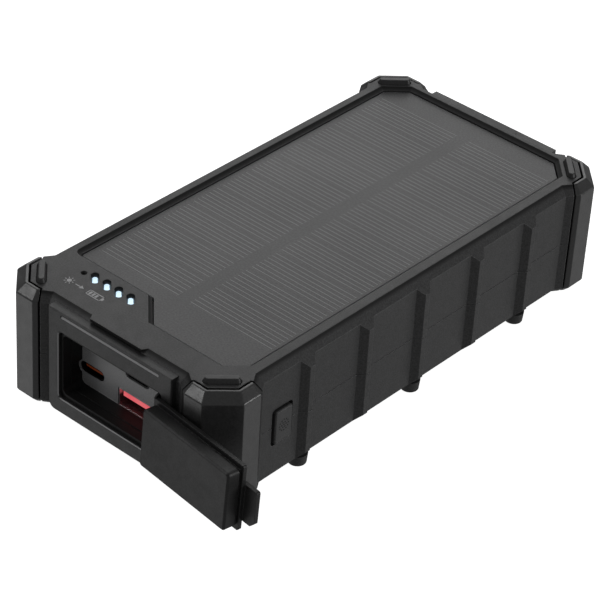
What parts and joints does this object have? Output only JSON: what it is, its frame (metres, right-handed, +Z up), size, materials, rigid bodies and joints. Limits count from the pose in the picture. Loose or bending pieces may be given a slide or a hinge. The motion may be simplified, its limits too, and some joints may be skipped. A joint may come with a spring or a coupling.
{
  "type": "solar phone charger",
  "caption": "Rugged solar phone charger: flat black case with a recessed panel, soft corner bumpers, side ribs, a button, charge lights and a hinged flap over its ports.",
  "frame": {"origin": "under the middle of the case, on the plane its feet stand on", "axes": "+Z up, +Y along the case from the port end to the other end, +X across it towards the button's side"},
  "size_m": [0.102, 0.1759, 0.0401],
  "materials": {
    "shell_plastic": "fine-textured matte black",
    "bumper_rubber": "matte black elastomer",
    "pad_rubber": "matte black elastomer",
    "foot_rubber": "matte black elastomer",
    "bezel_plastic": "matte black",
    "panel_plastic": "matte black",
    "connector_steel": "plated steel",
    "tongue_orange": "orange-brown moulding",
    "tongue_black": "black moulding",
    "insert_red": "pink-red moulding",
    "flap_rubber": "matte black elastomer",
    "button_plastic": "matte black",
    "plunger_plastic": "black",
    "switch_steel": "plated steel",
    "circuit_board": "green solder mask",
    "laminate": "fine-grained clear laminate over black",
    "cell_silicon": "dark silicon",
    "backing_sheet": "black sheet",
    "adhesive_tape": "white foam tape",
    "guide_clear": "milky clear",
    "indicator_clear": "smoked",
    "led_chip": "chip LED",
    "ferrite": "ferrite grey",
    "chip_epoxy": "moulded epoxy",
    "capacitor_can": "drawn can",
    "cell_pouch": "satin foil",
    "foam": "closed-cell foam",
    "seal_rubber": "moulded seal",
    "screw_steel": "zinc-plated",
    "lead_copper": "tinned copper strip",
    "lens_clear": "clear diffuser",
    "reflector": "metallised"
  },
  "bodies": {
    "charger": {"battery_cell_lower": "cell_pouch", "battery_cell_middle": "cell_pouch", "battery_cell_upper": "cell_pouch", "battery_leads": "lead_copper", "bottom_shell": "shell_plastic", "bumper_front_left": "bumper_rubber", "bumper_front_right": "bumper_rubber", "bumper_rear_left": "bumper_rubber", "bumper_rear_right": "bumper_rubber", "button_board": "circuit_board", "capacitors": "capacitor_can", "cell_tapes": "adhesive_tape", "control_chips": "chip_epoxy", "flap_anchor": "flap_rubber", "foam_pads": "foam", "foot_front_left": "foot_rubber", "foot_front_right": "foot_rubber", "foot_middle_left": "foot_rubber", "foot_middle_right": "foot_rubber", "foot_rear_left": "foot_rubber", "foot_rear_right": "foot_rubber", "front_bezel": "bezel_plastic", "indicator_pipe": "indicator_clear", "inductors": "ferrite", "lamp_board": "circuit_board", "lamp_leds": "led_chip", "lamp_lens": "lens_clear", "lamp_reflector": "reflector", "light_guide": "guide_clear", "main_board": "circuit_board", "oval_port_shell_lower": "connector_steel", "oval_port_shell_upper": "connector_steel", "oval_port_tongue_lower": "tongue_orange", "oval_port_tongue_upper": "tongue_black", "pad_front_left": "pad_rubber", "pad_front_right": "pad_rubber", "pad_rear_left": "pad_rubber", "pad_rear_right": "pad_rubber", "panel_adhesive": "adhesive_tape", "port_board": "circuit_board", "port_panel": "panel_plastic", "protection_board": "circuit_board", "rear_bezel": "bezel_plastic", "shell_screws": "screw_steel", "shell_seal": "seal_rubber", "solar_backing": "backing_sheet", "solar_cells": "cell_silicon", "solar_laminate": "laminate", "solar_lead": "lead_copper", "status_board": "circuit_board", "status_lead": "lead_copper", "status_leds": "led_chip", "tact_switch": "switch_steel", "top_shell": "shell_plastic", "wide_port_insert": "insert_red", "wide_port_shell": "connector_steel"},
    "flap": {"port_flap": "flap_rubber"},
    "button": {"button_cap": "button_plastic", "switch_plunger": "plunger_plastic"}
  },
  "joints": [
    {"name": "flap_hinge", "type": "hinge", "parent": "charger", "child": "flap", "pos_m": [0.018, -0.0826, 0.0195], "axis": [0, 0.029, 0.9996], "range_deg": [-173.2, 0]},
    {"name": "button_press", "type": "slide", "parent": "charger", "child": "button", "axis": [-1, 0, 0], "range_m": [0, 0.0006], "stiffness_N_per_m": 600}
  ]
}
